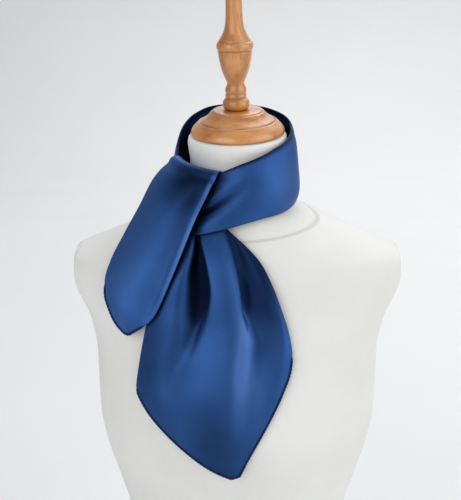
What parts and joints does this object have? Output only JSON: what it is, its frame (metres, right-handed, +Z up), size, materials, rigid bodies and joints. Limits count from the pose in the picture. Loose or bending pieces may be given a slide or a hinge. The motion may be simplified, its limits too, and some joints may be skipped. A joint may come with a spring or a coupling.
{
  "type": "silk square scarf on a dress form",
  "caption": "Silk square folded into a band and half-knotted round the neck of a limbless dress form with a turned wooden neck cap and finial.",
  "frame": {"origin": "centre of the form's flat underside, on the neck's axis", "axes": "+Z up along the neck, -Y towards the viewer and the form's front, +X to the viewer's right"},
  "size_m": [0.344, 0.2567, 0.7994],
  "materials": {
    "silk": "plain navy silk satin with a soft sheen and a rolled hem",
    "linen": "matt off-white cotton stretched over the form",
    "wood": "light turned wood with a satin varnish"
  },
  "bodies": {
    "root": {"form_torso": "linen", "form_neck_cap": "wood", "form_finial": "wood", "scarf_neck_loop": "silk", "scarf_short_tail": "silk", "scarf_long_tail": "silk"}
  },
  "joints": []
}
